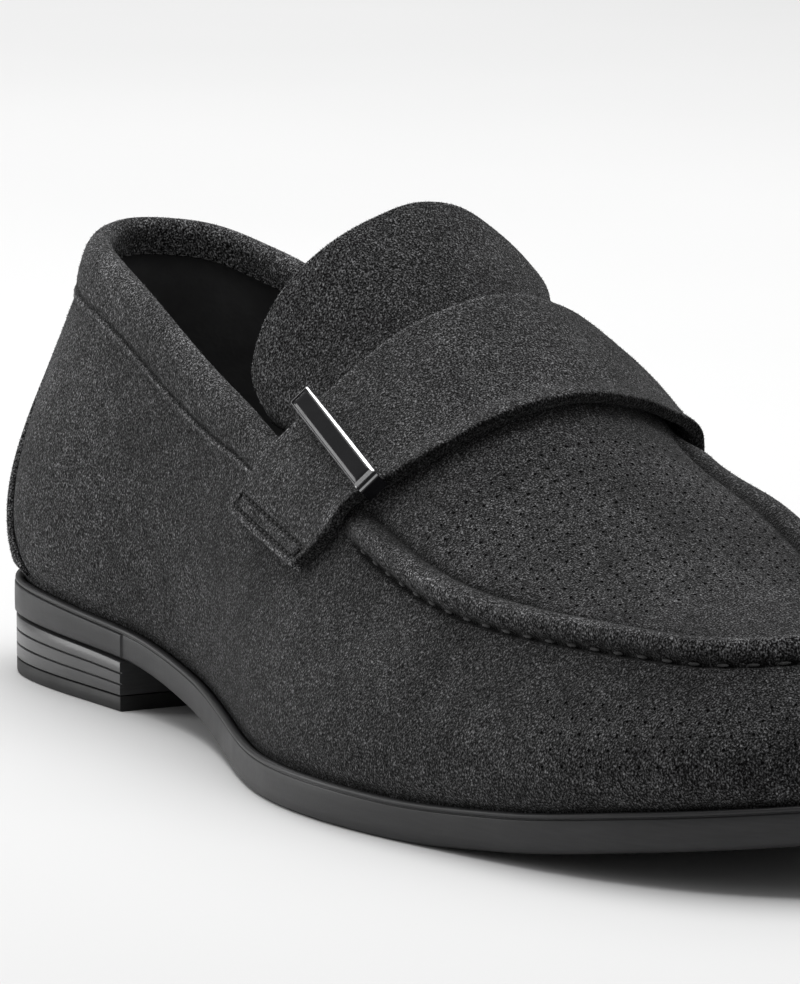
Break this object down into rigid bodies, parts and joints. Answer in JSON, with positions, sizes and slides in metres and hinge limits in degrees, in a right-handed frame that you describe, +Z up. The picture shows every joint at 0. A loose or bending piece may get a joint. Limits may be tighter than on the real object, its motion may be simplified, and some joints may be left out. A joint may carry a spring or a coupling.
{
  "type": "suede loafer",
  "caption": "Low slip-on saddle loafer with a raised apron seam, padded collar, tongue, saddle strap with a bare metal bar, rubber sole and stacked heel; stands empty on its sole.",
  "frame": {"origin": "on the floor, under the middle of the shoe's box", "axes": "+X from the heel to the toe, +Y towards the inner side of the foot, +Z up"},
  "size_m": [0.3044, 0.1022, 0.1049],
  "materials": {
    "suede": "brushed charcoal suede with a short nap",
    "sole_rubber": "satin black",
    "heel_layers": "polished black layers",
    "top_lift_rubber": "matt black",
    "lining_leather": "smooth black lining",
    "polished_metal": "polished",
    "black_enamel": "bare black enamel"
  },
  "bodies": {
    "root": {"outsole": "sole_rubber", "heel": "heel_layers", "heel_top_lift": "top_lift_rubber", "insole": "lining_leather", "upper": "suede", "tongue": "suede", "saddle_strap": "suede", "back_stay": "suede", "plate_frame": "polished_metal", "plate_inlay": "black_enamel"}
  },
  "joints": []
}
